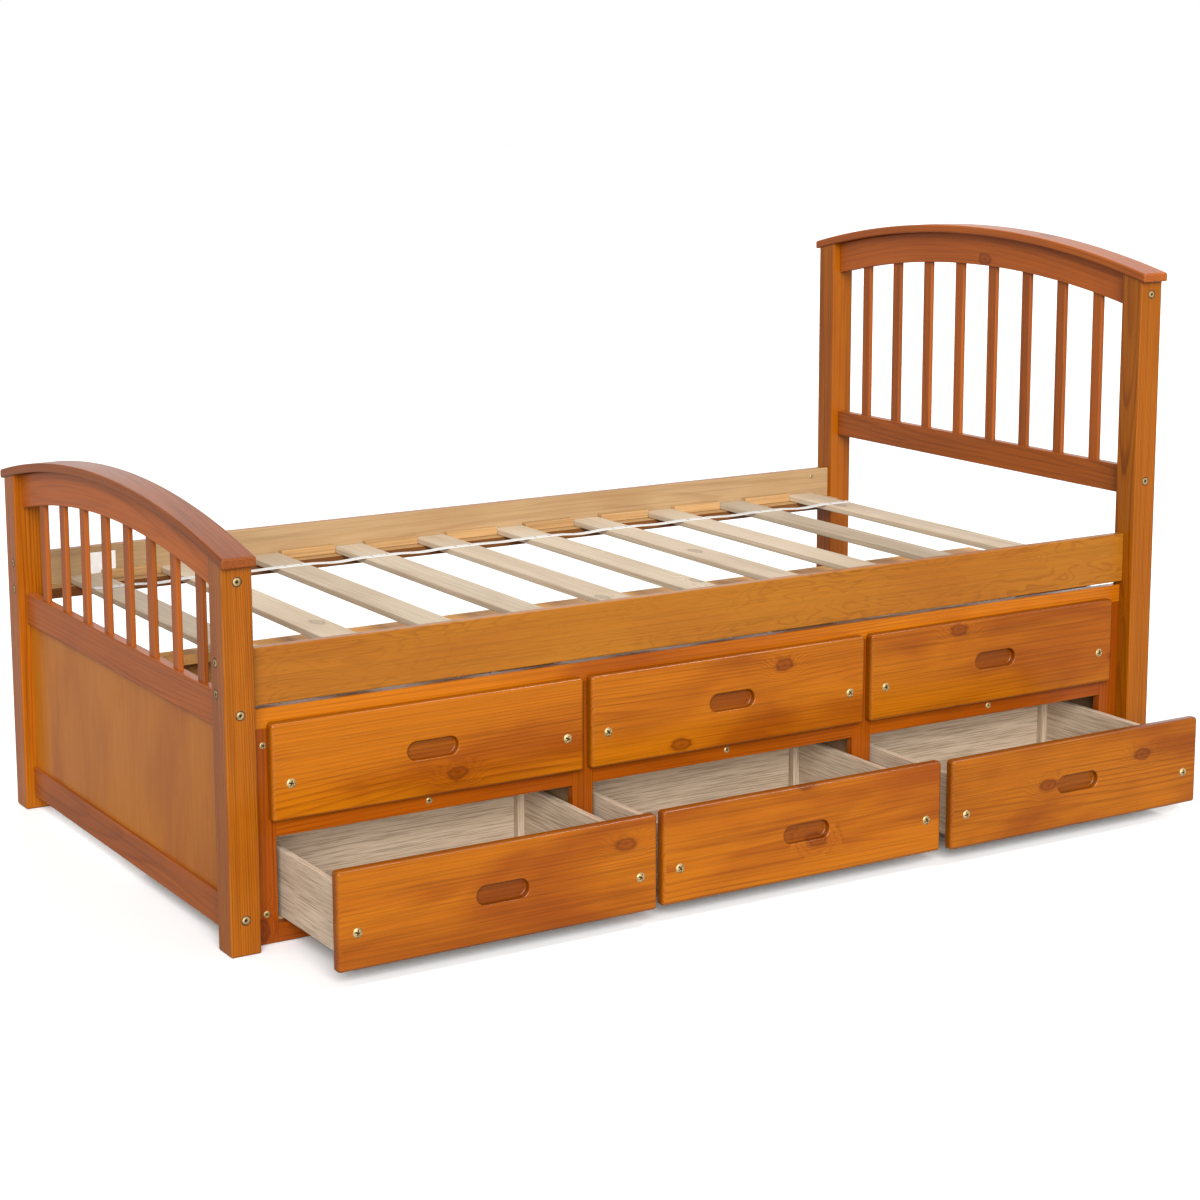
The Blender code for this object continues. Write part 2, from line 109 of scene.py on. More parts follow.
# The radius of a fastener's head and how far it stands out
FRONT_SCREW = (0.0087, 0.0028)
FRAME_SCREW = (0.0062, 0.0018)
BOLT_HEAD = (0.0069, 0.0010)
NUT_HEAD = (0.0055, 0.0012)
BOLT_HOLE_RADIUS = 0.0066
BOLT_RING_RADIUS = 0.0088

# Where fasteners sit: insets from the nearest edge, and heights above the floor
FRONT_SCREW_INSET = 0.035
FRONT_SCREW_ABOVE_FRONT_BOTTOM = 0.064
FRAME_SCREW_INSET = 0.025
FRAME_SCREW_BESIDE_FRONT = 0.0072
FRAME_SCREW_ABOVE_RAIL_BOTTOM = 0.018
FRAME_SCREW_HEIGHTS = (0.348, 0.054)
FOOT_BOLT_HEIGHTS = (0.639, 0.414, 0.062)
HEAD_BOLT_HEIGHTS = (1.002, 0.626)
RAIL_BOLT_HEIGHTS = (0.447, 0.500)
RAIL_BOLT_INSET = 0.035
NUT_INSET = 0.047
NUT_HEIGHT = 0.500
STAPLE_INSET = 0.018
STAPLE_WIDTH = 0.0012
STAPLE_LENGTH = 0.012

STRAP_SAG = 0.0022
STRAP_SAG_CHANGE = 0.0012
STRAP_WANDER = 0.0015

# Blank labels on the far rail: where each starts and ends along it, and its heights
LABELS = ((0.10, 0.155, 0.455, 0.505), (0.330, 0.345, 0.490, 0.505))
LABEL_LIFT = 0.0001
LABEL_FACE = 0.0004

rng = np.random.default_rng(7)


def box(node):
    """Lowest and highest corner of a node, as arrays."""
    low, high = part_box(node)
    return np.array(low), np.array(high)


# ---------------------------------------------------------------- surfaces


def corner_directions(steps):
    """Quarter turns: the sign of each corner and the unit vectors (cosine, sine) round it."""
    turn = np.linspace(0.0, math.pi / 2, steps + 1)
    angle = (np.arange(4)[:, None] * math.pi / 2 + turn).ravel()
    signs = np.repeat([[1, 1], [-1, 1], [-1, -1], [1, -1]], steps + 1, axis=0)
    return signs.astype(float), np.stack([np.cos(angle), np.sin(angle)], axis=1)


def outlines(half, radius, steps):
    """Round-cornered rectangles, one for each row of half and radius.

    A point is the corner's centre, which is the half size less the radius, plus the radius
    times (cosine, sine) of an angle that makes a quarter turn at each corner.
    """
    signs, unit = corner_directions(steps)
    half, radius = np.atleast_2d(half), np.atleast_1d(radius)
    centre = signs[None] * (half - radius[:, None])[:, None]
    return centre + radius[:, None, None] * unit[None]


def ring_faces(rings, points):
    """Quads between neighbouring rings, and one flat face over each end."""
    k, j = np.meshgrid(np.arange(rings - 1), np.arange(points), indexing="ij")
    after = (j + 1) % points
    quads = np.stack([k * points + j, k * points + after], -1)
    quads = np.concatenate([quads, quads[..., ::-1] + points], -1).reshape(-1, 4)
    last = (rings - 1) * points + np.arange(points)
    return quads.tolist() + [np.arange(points)[::-1].tolist(), last.tolist()]


def solid(grid, grain, painted_shade=0.0):
    """A closed shape from a grid of rings. It is turned so that its faces point outwards.

    The last argument is painted shade: 1 where a point lies in a recess, which the finish darkens
    as if shaded.
    """
    rings, points = grid.shape[:2]
    flat, faces = grid.reshape(-1, 3), ring_faces(rings, points)
    ends = (grid[:-1], np.roll(grid[:-1], -1, 1), np.roll(grid[1:], -1, 1), grid[1:])
    middle = flat.mean(0)
    a, b, c, d = (end - middle for end in ends)
    volume = np.sum(a * np.cross(b, c)) + np.sum(a * np.cross(c, d))
    if volume < 0:
        faces = [face[::-1] for face in faces]
    painted_shade = np.broadcast_to(np.reshape(painted_shade, (-1, 1)), (rings, points))
    return flat, faces, grain.reshape(-1, 3), painted_shade.ravel()


def new_grain():
    """Where in its own log a board was sawn: a random place, so that no two are alike."""
    return rng.uniform([-40.0, -0.10, 0.02], [40.0, 0.10, 0.12])


def board(low, high, along, radius=0.002, steps=3, stations=2, place=None, thin=None):
    """A board whose section, a round-cornered rectangle, is carried along one axis.

    Near each end the section is drawn in by radius * (1 - cosine) while the place moves
    radius * (1 - sine) in from the end, which rounds the end's edges too. place bends the
    finished grid. thin is the axis of the board's thickness, for the direction of its grain.
    """
    low, high = np.asarray(low, float), np.asarray(high, float)
    across = [axis for axis in range(3) if axis != along]
    size = high - low
    if thin is None:
        thin = min(across, key=lambda axis: size[axis])
    wide = next(axis for axis in across if axis != thin)
    middle, half = (low + high) / 2, size[[wide, thin]] / 2
    radius = min(radius, 0.48 * float(half.min()))

    turn = np.linspace(math.pi / 2, 0.0, steps + 1)
    inward, drawn = radius * (1 - np.sin(turn)), 0.9 * radius * (1 - np.cos(turn))
    between = np.linspace(low[along] + radius, high[along] - radius, stations)
    places = np.r_[low[along] + inward[:-1], between, high[along] - inward[:-1][::-1]]
    drawn = np.r_[drawn[:-1], np.zeros(stations), drawn[:-1][::-1]]

    ring = outlines(half[None] - drawn[:, None], radius - drawn, steps)
    grid = np.empty((len(places), ring.shape[1], 3))
    grid[..., along] = places[:, None]
    grid[..., wide] = middle[wide] + ring[..., 0]
    grid[..., thin] = middle[thin] + ring[..., 1]
    grain = grid[..., [along, wide, thin]] - middle[[along, wide, thin]] + new_grain()
    if place is not None:
        grid = place(grid)
    return solid(grid, grain)


def stack(centre, rings, facing, steps=8, painted_shade=0.0):
    """A shape of nested outlines: each row of rings is (half width, half height, radius, depth).

    The outlines lie across the axis that the shape faces, and depth is counted along it from
    the face inwards, so one surface runs from a recess, over its lip, to the edges and back.
    """
    rings = np.asarray(rings, float)
    axis, into = facing
    wide, tall = [other for other in range(3) if other != axis]
    ring = outlines(rings[:, :2], rings[:, 2], steps)
    grid = np.empty((len(rings), ring.shape[1], 3))
    grid[..., wide] = centre[wide] + ring[..., 0]
    grid[..., tall] = centre[tall] + ring[..., 1]
    grid[..., axis] = centre[axis] + into * rings[:, 3][:, None]
    grain = grid[..., [wide, tall, axis]] - np.asarray(centre)[[wide, tall, axis]] + new_grain()
    return solid(grid, grain, painted_shade)


def head_of_screw(centre, facing, kind, turned, socket="cross"):
    """A screw's head of one kind (its radius and rise): height over radius and angle.

    The height is a dome, rise * (1 - (radius / size) ** 2.6), less a recess whose depth falls
    off smoothly with the distance from a cross, or from a hexagon, at the middle.
    """
    size, rise = kind
    radius = size * np.r_[0.02, np.linspace(0.08, 0.62, 10), 0.75, 0.88, 0.96, 1.0, 1.0]
    angle = np.linspace(0.0, 2 * math.pi, 40, endpoint=False)
    r, a = np.meshgrid(radius, angle, indexing="ij")
    x, y = r * np.cos(a + turned), r * np.sin(a + turned)
    height = rise * (1 - (r / size) ** 2.6) + 0.0002
    if socket == "cross":
        arm = np.minimum(np.abs(np.cos(a)), np.abs(np.sin(a))) * r
        away = np.maximum(arm - 0.12 * size, r - 0.58 * size) / (0.06 * size)
    else:
        sector = (a + math.pi / 6) % (math.pi / 3) - math.pi / 6
        away = (r * np.cos(sector) - 0.40 * size) / (0.06 * size)
    sunk = 1 / (1 + np.exp(np.clip(6 * away, -30, 30)))
    height -= 0.85 * rise * sunk
    height[-1] = -0.0010
    axis, into = facing
    wide, tall = [other for other in range(3) if other != axis]
    grid = np.empty((*r.shape, 3))
    grid[..., wide], grid[..., tall] = centre[wide] + x, centre[tall] + y
    grid[..., axis] = centre[axis] - into * height
    flat, faces, grain, _ = solid(grid, grid - np.asarray(centre) + new_grain())
    # the last values are painted shade: 1 in the socket, 0.3 at the rim
    return flat, faces, grain, np.maximum(sunk, (r > 0.97 * size) * 0.3).ravel()


def shade_ring(centre, facing, inner, outer, rise=0.0004):
    """A flat dark ring round a bolt's hole that paints the shade of its counterbore: its section is
    carried once round the bolt's axis.

    The section goes out along the ring's face, down its rim and back in under the wood, with
    the face a little lower at its inner edge.
    """
    radius = np.array([inner, inner, inner + 0.0006, outer - 0.0006, outer, outer])
    height = np.array([-0.0012, 0.0, rise, rise, 0.0, -0.0012])
    angle = np.linspace(0.0, 2 * math.pi, 40, endpoint=False)
    around, section = len(angle), len(radius)
    axis, into = facing
    wide, tall = [other for other in range(3) if other != axis]
    grid = np.empty((around, section, 3))
    grid[..., wide] = centre[wide] + radius * np.cos(angle)[:, None]
    grid[..., tall] = centre[tall] + radius * np.sin(angle)[:, None]
    grid[..., axis] = centre[axis] - into * height
    k, j = np.meshgrid(np.arange(around), np.arange(section), indexing="ij")
    row, next_row = k * section, (k + 1) % around * section
    after = (j + 1) % section
    quads = np.stack([row + j, row + after, next_row + after, next_row + j], -1).reshape(-1, 4)
    flat = grid.reshape(-1, 3)
    a, b, c = (flat[quads[:, n]] - np.asarray(centre) for n in (0, 1, 2))
    if np.sum(a * np.cross(b, c)) < 0:
        quads = quads[:, ::-1]
    return flat, quads.tolist(), flat - np.asarray(centre) + new_grain(), np.zeros(len(flat))


# ---------------------------------------------------------------- pieces


def piece(name, shapes, finish, body, nodes=(), inside=None, inward=None, tint=None):
    """Joins shapes into one named piece that rides on a body and stands for CAD nodes.

    Each board also gets a tint of its own, or the one given; the given ones paint light and
    shade. Normals are the sum of the faces' normals times their areas, so that flat faces stay
    flat beside round edges. Where inside is given, the faces that look along inward take that
    second finish.
    """
    start, points, faces, grains, tints, painted_shades = 0, [], [], [], [], []
    for flat, own, grain, painted_shade in shapes:
        faces += [[index + start for index in face] for face in own]
        points.append(flat)
        grains.append(grain)
        own_tint = rng.uniform()
        tints.append(np.full(len(flat), own_tint if tint is None else tint))
        painted_shades.append(painted_shade)
        start += len(flat)
    mesh = bpy.data.meshes.new(name)
    mesh.from_pydata(np.concatenate(points).tolist(), [], faces)
    grain = mesh.attributes.new("grain", "FLOAT_VECTOR", "POINT")
    grain.data.foreach_set("vector", np.concatenate(grains).astype(np.float32).ravel())
    for title, values in (("tint", tints), ("painted_shade", painted_shades)):
        layer = mesh.attributes.new(title, "FLOAT", "POINT")
        layer.data.foreach_set("value", np.concatenate(values).astype(np.float32))
    mesh.shade_smooth()

    count = len(mesh.polygons)
    normal, area = np.empty(count * 3), np.empty(count)
    total, corner = np.empty(count, int), np.empty(len(mesh.loops), int)
    mesh.polygons.foreach_get("normal", normal)
    mesh.polygons.foreach_get("area", area)
    mesh.polygons.foreach_get("loop_total", total)
    mesh.loops.foreach_get("vertex_index", corner)
    normal = normal.reshape(-1, 3)
    smooth = np.zeros((len(mesh.vertices), 3))
    np.add.at(smooth, corner, np.repeat(normal * area[:, None], total, axis=0))
    smooth /= np.maximum(np.linalg.norm(smooth, axis=1, keepdims=True), 1e-15)
    mesh.normals_split_custom_set_from_vertices(smooth.tolist())

    mesh.materials.append(finish)
    if inside is not None:
        mesh.materials.append(inside)
        looks = (normal @ np.asarray(inward, float) > 0.7).astype(np.int32)
        mesh.polygons.foreach_set("material_index", looks)
    made = bpy.data.objects.new(name, mesh)
    bpy.context.scene.collection.objects.link(made)
    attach(made, body)
    if nodes:
        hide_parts(*nodes)
    return made


# ---------------------------------------------------------------- finishes


SOCKETS = {"coat": "Coat Weight", "coat_roughness": "Coat Roughness",
           "specular": "Specular IOR Level", "metallic": "Metallic"}


class Finish:
    """A material's node tree, with a short way to add nodes and link them."""

    def __init__(self, name):
        self.material = bpy.data.materials.new(name)
        self.material.use_nodes = True
        self.tree = self.material.node_tree
        self.shader = self.tree.nodes["Principled BSDF"]

    def add(self, kind, *inputs, **options):
        """A node. Each input is a number, a colour, a socket to link, or None to leave."""
        node = self.tree.nodes.new("ShaderNode" + kind)
        named = options.pop("named", {})
        for key, value in options.items():
            setattr(node, key, value)
        for key, value in [*enumerate(inputs), *named.items()]:
            self.put(node.inputs[key], value)
        return node

    def put(self, socket, value):
        if isinstance(value, bpy.types.NodeSocket):
            self.tree.links.new(value, socket)
        elif value is not None:
            socket.default_value = value

    def math(self, operation, *inputs):
        return self.add("Math", *inputs, operation=operation).outputs[0]

    def scaled(self, vector, scale):
        node = self.add("VectorMath", vector, tuple(scale), operation="MULTIPLY")
        return node.outputs[0]

    def noise(self, vector, scale, detail=3.0, roughness=0.5, distortion=0.0):
        """Noise from 0 to 1 of a vector stretched by scale."""
        named = {"Scale": 1.0, "Detail": detail, "Roughness": roughness, "Distortion": distortion}
        return self.add("TexNoise", self.scaled(vector, scale), named=named).outputs["Fac"]

    def step(self, value, start, stop, low=0.0, high=1.0):
        """A smooth step from low at start to high at stop."""
        node = self.add("MapRange", value, start, stop, low, high, interpolation_type="SMOOTHSTEP")
        return node.outputs[0]

    def mix(self, share, first, second):
        node = self.add("Mix", data_type="RGBA")
        for index, value in ((0, share), (6, first), (7, second)):
            if isinstance(value, tuple) and len(value) == 3:
                value = (*value, 1.0)
            self.put(node.inputs[index], value)
        return node.outputs[2]

    def finish(self, colour, roughness, height=None, depth=0.0003, **settings):
        self.put(self.shader.inputs["Base Color"], colour)
        self.put(self.shader.inputs["Roughness"], roughness)
        if height is not None:
            bump = self.add("Bump", named={"Strength": 1.0, "Distance": depth, "Height": height})
            self.put(self.shader.inputs["Normal"], bump.outputs[0])
        for key, value in settings.items():
            self.shader.inputs[SOCKETS[key]].default_value = value
        return self.material


def wood(name, pale, deep, red, ring=0.0065, rings=0.5, knots=0.35, blotch=0.6, figure=0.012,
         gloss=0.29, coat=0.14, attribute=True, fibre=0.13, tint=0.20, specular=0.20,
         rotary=0.0):
    """Wood whose yearly rings are cylinders round the log's heart, bent by slow noise.

    The ring's colour goes by the distance from the heart, fine fibres are noise stretched
    along the grain, knots are scattered ellipses that push the rings aside, and slow noise
    lets the stain go in redder in places. With rotary above 0 the rings are instead the
    level lines of a smooth noise, as on veneer peeled off a turning log.
    """
    f = Finish(name)
    if attribute:
        place = f.add("Attribute", attribute_name="grain").outputs["Vector"]
        own = f.add("Attribute", attribute_name="tint").outputs["Fac"]
    else:
        place = f.add("TexCoord").outputs["Object"]
        own = f.noise(place, (0.7, 0.7, 0.7), 0.0)
    knot = f.add("TexVoronoi", f.scaled(place, (5.0, 9.0, 0.0)), named={"Scale": 1.0},
                 voronoi_dimensions="2D")
    cell = f.add("SeparateColor", knot.outputs["Color"]).outputs[0]
    near = f.math("GREATER_THAN", cell, 1.0 - knots)
    rough_edge = f.noise(place, (45.0, 110.0, 110.0), 2.0)
    far = f.math("MULTIPLY_ADD", rough_edge, 0.09, knot.outputs["Distance"])
    far = f.math("SUBTRACT", far, 0.045)
    heart = f.math("MULTIPLY", near, f.step(far, 0.050, 0.170, 0.70, 0.0))
    rim = f.math("MULTIPLY", f.step(far, 0.055, 0.085), f.step(far, 0.085, 0.120, 0.50, 0.0))
    eye = f.math("MULTIPLY", near, f.math("MAXIMUM", rim, f.step(far, 0.010, 0.045, 0.35, 0.0)))
    push = f.math("MULTIPLY", near, f.step(far, 0.0, 0.32, 1.6 * figure, 0.0))

    bend = f.noise(place, (1.3, 7.0, 7.0), 2.0)
    lean = f.noise(place, (0.8, 3.0, 3.0), 1.0)
    split = f.add("SeparateXYZ", place)
    v = f.math("MULTIPLY_ADD", bend, 2.4 * figure, split.outputs[1])
    w = f.math("MULTIPLY_ADD", lean, 5.0 * figure, split.outputs[2])
    heartwood = f.add("CombineXYZ", 0.0, v, w)
    distance = f.add("VectorMath", heartwood.outputs[0], operation="LENGTH").outputs["Value"]
    distance = f.math("ADD", distance, push)
    uneven = f.noise(place, (2.0, 60.0, 60.0), 2.0)
    turns = f.math("MULTIPLY_ADD", uneven, 0.5, f.math("DIVIDE", distance, ring))
    if rotary:
        peeled = f.math("MULTIPLY", f.noise(place, (6.5, 27.0, 0.0), 2.0, 0.50, 0.4), rotary)
        turns = f.math("MULTIPLY_ADD", uneven, 0.5, peeled)
    share = f.math("FRACT", turns)
    late = f.math("MULTIPLY", f.step(share, 0.50, 0.90), f.step(share, 0.92, 1.0, 1.0, 0.0))
    strength = f.step(f.noise(place, (1.4, 14.0, 14.0), 2.0), 0.36, 0.66, 0.25 * rings, rings)
    late = f.math("MULTIPLY", late, strength)

    fine = f.noise(place, (14.0, 620.0, 620.0), 3.0, 0.65)
    streak = f.noise(place, (2.4, 150.0, 150.0), 3.0, 0.6)
    line = f.step(f.noise(place, (2.2, 340.0, 340.0), 2.0, 0.6), 0.50, 0.60)
    cloud = f.step(f.noise(place, (2.1, 6.5, 6.5), 3.0, 0.55, 0.4), 0.40, 0.72, 0.0, blotch)
    colour = f.mix(late, pale, deep)
    colour = f.mix(cloud, colour, red)
    colour = f.mix(heart, colour, tuple(0.85 * value for value in red))
    colour = f.mix(eye, colour, tuple(0.40 * value for value in red))
    # painted shade: the wood goes darker and redder in the drawer pulls' recesses and round the
    # fronts' edges and sides
    if attribute:
        shade_share = f.add("Attribute", attribute_name="painted_shade").outputs["Fac"]
        colour = f.mix(f.math("MULTIPLY", shade_share, 0.55), colour,
                       tuple(0.62 * value for value in red))
    light = f.math("MULTIPLY_ADD", f.math("SUBTRACT", own, 0.5), tint, 1.0)
    light = f.math("MULTIPLY_ADD", f.math("SUBTRACT", fine, 0.5), 2.6 * fibre, light)
    light = f.math("MULTIPLY_ADD", f.math("SUBTRACT", streak, 0.5), 1.8 * fibre, light)
    light = f.math("MULTIPLY_ADD", line, -1.5 * fibre, light)
    scale = f.add("VectorMath", colour, operation="SCALE", named={"Scale": light})
    height = f.math("MULTIPLY_ADD", fine, 0.5, f.math("MULTIPLY", late, 0.5))
    rough = f.math("MULTIPLY_ADD", streak, 0.16, gloss - 0.08)
    return f.finish(scale.outputs[0], rough, height, 0.00030,
                    coat=coat, coat_roughness=0.15, specular=specular)


def laminate(name):
    """Printed foil on the drawer boxes: pale grey-beige with fine, short, darker grain lines."""
    f = Finish(name)
    place = f.add("Attribute", attribute_name="grain").outputs["Vector"]
    lines = f.noise(place, (9.0, 520.0, 520.0), 2.0, 0.7)
    bands = f.noise(place, (1.2, 55.0, 55.0), 2.0, 0.5)
    pores = f.step(f.noise(place, (22.0, 900.0, 900.0), 2.0), 0.60, 0.72)
    colour = f.mix(f.step(bands, 0.30, 0.70), (0.560, 0.445, 0.330), (0.490, 0.380, 0.272))
    colour = f.mix(f.step(lines, 0.45, 0.62, 0.0, 0.80), colour, (0.270, 0.195, 0.130))
    colour = f.mix(f.math("MULTIPLY", pores, 0.35), colour, (0.24, 0.17, 0.11))
    return f.finish(colour, f.math("MULTIPLY_ADD", bands, 0.12, 0.46), lines, 0.0001,
                    specular=0.3)


def webbing(name):
    """Woven strap: two crossed waves, one along and one across the strap."""
    f = Finish(name)
    place = f.add("Attribute", attribute_name="grain").outputs["Vector"]
    split = f.add("SeparateXYZ", place)
    warp = f.math("SINE", f.math("MULTIPLY", split.outputs[1], 5200.0))
    weft = f.math("SINE", f.math("MULTIPLY", split.outputs[0], 3300.0))
    weave = f.math("MULTIPLY", warp, weft)
    dust = f.noise(place, (14.0, 60.0, 60.0), 3.0)
    colour = f.mix(f.step(weave, -1.0, 1.0), (0.56, 0.545, 0.52), (0.72, 0.705, 0.68))
    colour = f.mix(f.step(dust, 0.5, 0.8, 0.0, 0.4), colour, (0.60, 0.57, 0.52))
    return f.finish(colour, f.math("MULTIPLY_ADD", dust, 0.2, 0.75), weave, 0.0002)


def metal(name, bright, dull, roughness, base=0.9):
    """Plated metal: fine turning marks, and a dull film that comes and goes."""
    f = Finish(name)
    place = f.add("TexCoord").outputs["Object"]
    film = f.noise(place, (170.0, 170.0, 170.0), 3.0)
    marks = f.noise(place, (900.0, 900.0, 3800.0), 2.0)
    colour = f.mix(f.step(film, 0.40, 0.68), bright, dull)
    # painted shade: near black in a screw's or bolt's socket, and a little darker at its rim
    shade_share = f.add("Attribute", attribute_name="painted_shade").outputs["Fac"]
    colour = f.mix(shade_share, colour, tuple(0.10 * value for value in dull))
    rough = f.math("MULTIPLY_ADD", marks, 0.25, roughness)
    return f.finish(colour, rough, marks, 0.00004, metallic=base)


def paper(name):
    """Blank label: off-white paper with a faint fibre and slow, slightly darker clouds."""
    f = Finish(name)
    place = f.add("TexCoord").outputs["Object"]
    fibre = f.noise(place, (700.0, 700.0, 700.0), 3.0)
    cloud = f.noise(place, (40.0, 40.0, 40.0), 2.0)
    colour = f.mix(f.step(cloud, 0.35, 0.7), (0.80, 0.79, 0.77), (0.72, 0.71, 0.68))
    return f.finish(colour, f.math("MULTIPLY_ADD", fibre, 0.2, 0.5), fibre, 0.00005)


POST_PINE = wood("stained_pine_posts", (0.310, 0.085, 0.0010), (0.180, 0.040, 0.0005),
                 (0.200, 0.040, 0.0010), ring=0.0038, rings=1.00, knots=0.06, blotch=0.5)
FRONT_PINE = wood("stained_pine_fronts", (0.340, 0.096, 0.0010), (0.215, 0.050, 0.0005),
                  (0.185, 0.034, 0.0005), ring=0.0045, rings=0.72, knots=0.30, blotch=0.85)
CAP_PINE = wood("stained_pine_caps", (0.296, 0.072, 0.008), (0.180, 0.041, 0.004),
                (0.200, 0.046, 0.008), ring=0.0050, rings=0.60, knots=0.06, gloss=0.46,
                specular=0.20)
FRAME_PINE = wood("stained_pine_face_frame", (0.270, 0.056, 0.0010), (0.165, 0.029, 0.0005),
                  (0.160, 0.024, 0.0005), ring=0.0042, rings=0.60, knots=0.06)
PANEL_PLY = wood("stained_panel_ply", (0.355, 0.112, 0.004), (0.285, 0.080, 0.002),
                 (0.250, 0.062, 0.002), ring=0.0160, rings=0.30, knots=0.0, blotch=0.75,
                 figure=0.02, fibre=0.05, gloss=0.42, rotary=5.0)
RAIL_PLY = wood("stained_rail_ply", (0.290, 0.101, 0.006), (0.165, 0.050, 0.003),
                (0.230, 0.064, 0.004), ring=0.0070, rings=0.55, knots=0.0, blotch=0.5,
                figure=0.03, fibre=0.08, gloss=0.45, rotary=9.0)
TAN_PINE = wood("tan_rail_inside", (0.410, 0.268, 0.136), (0.290, 0.162, 0.068),
                (0.310, 0.172, 0.070), ring=0.0085, rings=0.45, knots=0.10, blotch=0.6,
                figure=0.02, gloss=0.55, coat=0.0, fibre=0.07)
RAW_PINE = wood("raw_slat_pine", (0.520, 0.420, 0.305), (0.370, 0.270, 0.170),
                (0.415, 0.315, 0.215), ring=0.0050, rings=0.75, knots=0.15, blotch=0.9,
                gloss=0.62, coat=0.0, fibre=0.08, tint=0.22)
# painted shade: the ledges' sides and underside are dark brown, while their tops take the spacers'
# tan
LEDGE_PAINTED_SHADE = wood("ledge_painted_shade", (0.18, 0.065, 0.014), (0.09, 0.030, 0.007),
                   (0.11, 0.036, 0.009), rings=0.5, knots=0.1, gloss=0.50)
SPACER_TAN = wood("spacer_tan", (0.44, 0.260, 0.110), (0.33, 0.170, 0.060),
                  (0.35, 0.180, 0.065), rings=0.4, knots=0.0, gloss=0.50)
CASE_PINE = wood("case_inside", (0.34, 0.205, 0.105), (0.27, 0.150, 0.070),
                 (0.29, 0.160, 0.078), ring=0.015, rings=0.4, knots=0.0, attribute=False,
                 gloss=0.55, coat=0.0)
# painted light: the cabinet back's top edge, shaded under the side rail and slats, is given a much
# paler, more golden colour than the case
BACK_PINE_PAINTED_LIGHT = wood("case_back_painted_light", (0.70, 0.360, 0.120), (0.55, 0.260, 0.080),
                 (0.58, 0.270, 0.085), ring=0.008, rings=0.5, knots=0.0, attribute=False,
                 gloss=0.55, coat=0.0)
FOIL = laminate("drawer_foil")
STRAP = webbing("white_webbing")
BRASS = metal("plated_screws", (0.50, 0.36, 0.17), (0.28, 0.185, 0.075), 0.42, 0.7)
# painted shade: near-black rings stand in for the shade inside the bolts' counterbores
COUNTERBORE_SHADE = metal("painted_counterbore_shade", (0.09, 0.050, 0.022), (0.03, 0.016, 0.008), 0.40, 0.5)
LABEL = paper("blank_labels")

# Tints of some boards, set to paint light and shade: 0.5 is the middle of the random ones, and more
# is paler. The arch rails under the caps, the cabinet's top rail under the side rail and the upper
# fronts are painted paler against the shade that falls on them; the head cap is painted paler and
# the foot cap darker, against the light that reaches each.
CAP_PAINTED_LIGHT = {"foot": -0.6, "head": 1.3}
ARCH_PAINTED_LIGHT = 2.4
TOP_RAIL_PAINTED_LIGHT = 1.7
FRONT_TONES_AND_PAINTED_LIGHT = {"lower": (0.6, 0.7, 0.0), "upper": (0.9, 0.7, 0.4)}


# ---------------------------------------------------------------- head and foot boards

NEAR_Y = box("foot_post_near")[0][1]
FAR_Y = box("foot_post_far")[1][1]
MIDDLE_Y = (NEAR_Y + FAR_Y) / 2
FOOT_X = box("foot_post_near")[0][0]
HEAD_X = box("head_post_near")[1][0]
POST = box("foot_post_near")[1][1] - NEAR_Y


def arc_height(y, peak, depth):
    """Height of the cap's arc at y, on a circle through its two ends and its middle."""
    half = box("foot_cap_rail")[1][1] - MIDDLE_Y
    radius = (half**2 + CAP_RISE**2) / (2 * CAP_RISE)
    return peak - radius + np.sqrt((radius - depth) ** 2 - (y - MIDDLE_Y) ** 2)


def bent(peak, first_depth):
    """Bends a grid whose height is a depth below the cap's top, so that it follows the arc."""

    def place(grid):
        out = grid.copy()
        out[..., 2] = arc_height(grid[..., 1], peak, first_depth - grid[..., 2])
        return out

    return place


def under_cap(peak):
    """Cuts a post's top to the curve of the cap's underside."""

    def place(grid):
        out = grid.copy()
        roof = arc_height(grid[..., 1], peak, CAP_THICKNESS + GAP)
        out[..., 2] = np.minimum(grid[..., 2], roof)
        return out

    return place


def make_end(end):
    """A whole board: posts, cap, arched rail, middle rail and spindles."""
    cap_low, cap_high = box(f"{end}_cap_rail")
    peak = cap_high[2]
    for side in SIDES:
        low, high = box(f"{end}_post_{side}")
        high[2] += 0.004  # spare length, cut off under the cap
        shape = board(low, high, 2, POST_EDGE, 4, 40, under_cap(peak))
        piece(f"{end}_post_{side}_pine", [shape], POST_PINE, BED, [f"{end}_post_{side}"])

    low = (cap_low[0], cap_low[1], -CAP_THICKNESS)
    shape = board(low, (cap_high[0], cap_high[1], 0.0), 1, CAP_EDGE, 5, 64, bent(peak, 0.0), 2)
    piece(f"{end}_cap_pine", [shape], CAP_PINE, BED, [f"{end}_cap_rail"],
          tint=CAP_PAINTED_LIGHT[end])

    low, high = box(f"{end}_arch_rail")
    low[2], high[2] = -ARCH_RAIL_DEPTH, -GAP
    shape = board(low, high, 1, RAIL_EDGE, 3, 64, bent(peak, CAP_THICKNESS), 0)
    piece(f"{end}_arch_pine", [shape], CAP_PINE, BED, [f"{end}_arch_rail"],
          tint=ARCH_PAINTED_LIGHT)

    shape = board(*box(f"{end}_mid_rail"), 1, RAIL_EDGE)
    piece(f"{end}_mid_pine", [shape], CAP_PINE, BED, [f"{end}_mid_rail"])
    for number in range(1, 9):
        shape = board(*box(f"{end}_spindle_{number}"), 2, RAIL_EDGE)
        piece(f"{end}_spindle_pine_{number}", [shape], CAP_PINE, BED,
              [f"{end}_spindle_{number}"])


